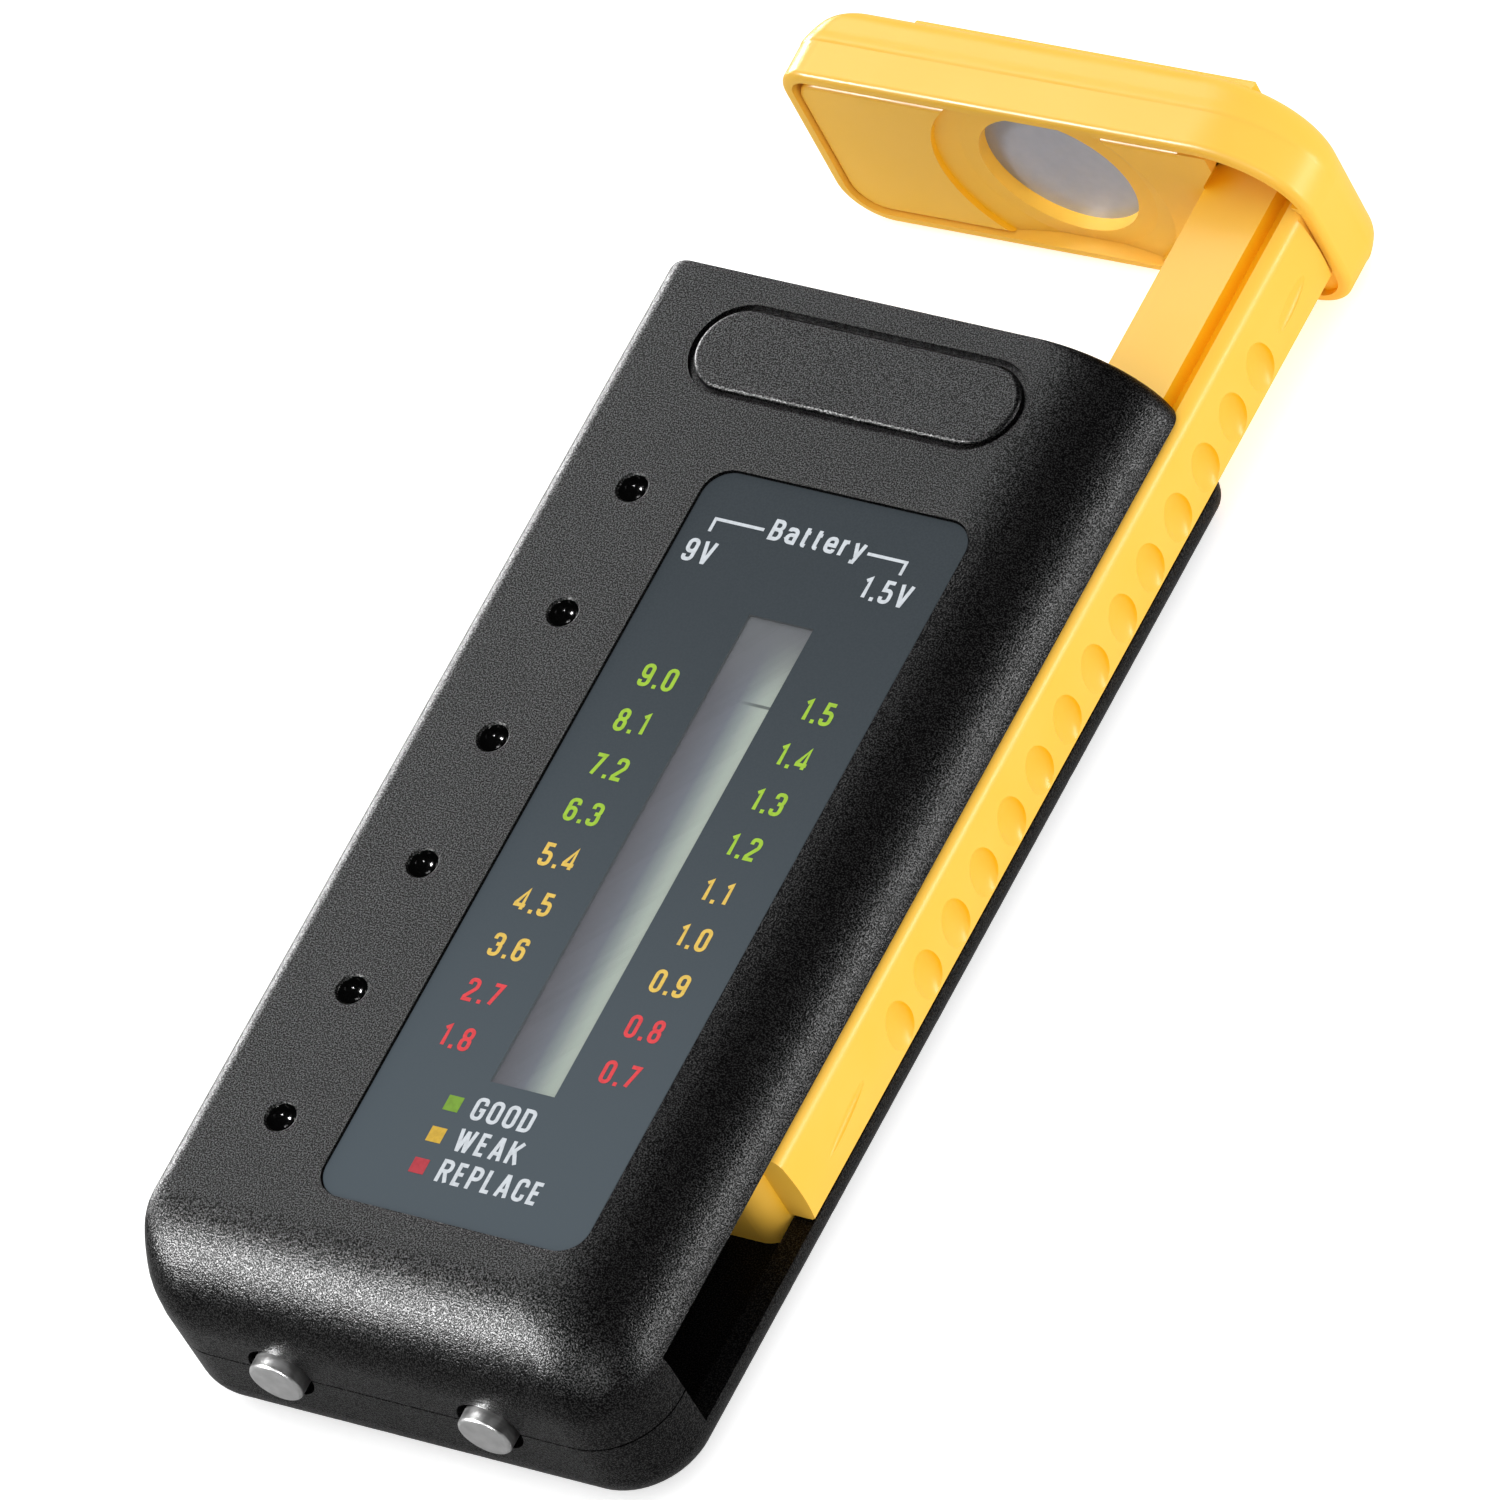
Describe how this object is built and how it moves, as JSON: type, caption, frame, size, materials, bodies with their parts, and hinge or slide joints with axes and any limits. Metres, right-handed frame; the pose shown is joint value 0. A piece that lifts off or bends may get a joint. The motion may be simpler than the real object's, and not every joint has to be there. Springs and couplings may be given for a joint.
{
  "type": "battery tester",
  "caption": "Pocket battery tester with a tall display, a sliding hook arm that grips round cells and metal studs for block batteries.",
  "frame": {"origin": "centre of the housing's flat back face, which the tester lies on", "axes": "+X across the face towards the sliding arm, +Y along the tester towards the hook, +Z out of the scale face"},
  "size_m": [0.0516, 0.1355, 0.0207],
  "materials": {
    "black_shell": "black moulded plastic with a fine spark texture",
    "scale_print": "blue-grey printed film, satin",
    "clear_window": "clear film pane",
    "lcd_glass": "grey-green liquid crystal panel",
    "foil": "matt reflector foil",
    "white_plastic": "white moulded plastic",
    "contact_rubber": "conductive rubber connector",
    "board": "green glass-fibre board",
    "black_resin": "black cast resin",
    "tan_ceramic": "tan ceramic body",
    "nickel": "nickel plated steel",
    "spring_brass": "bare spring brass",
    "screw_steel": "zinc plated steel",
    "yellow_plastic": "yellow moulded plastic, semi-gloss"
  },
  "bodies": {
    "housing": {"front_shell": "black_shell", "rear_shell": "black_shell", "gauge_label": "scale_print", "display_window": "clear_window", "lcd_panel": "lcd_glass", "lcd_reflector": "foil", "lcd_holder": "white_plastic", "zebra_strip": "contact_rubber", "circuit_board": "board", "chip_cover": "black_resin", "chip_resistors": "black_resin", "chip_capacitors": "tan_ceramic", "load_resistor": "tan_ceramic", "base_contact": "nickel", "wiper_spring": "spring_brass", "stud_left": "nickel", "stud_right": "nickel", "stud_clip_left": "spring_brass", "stud_clip_right": "spring_brass", "case_screws": "screw_steel"},
    "slider": {"arm_bracket": "yellow_plastic", "cap_shell": "yellow_plastic", "contact_disc": "nickel", "contact_strip": "spring_brass"}
  },
  "joints": [
    {"name": "arm_slide", "type": "slide", "parent": "housing", "child": "slider", "axis": [0, 1, 0], "range_m": [-0.0188, 0.0435]}
  ]
}
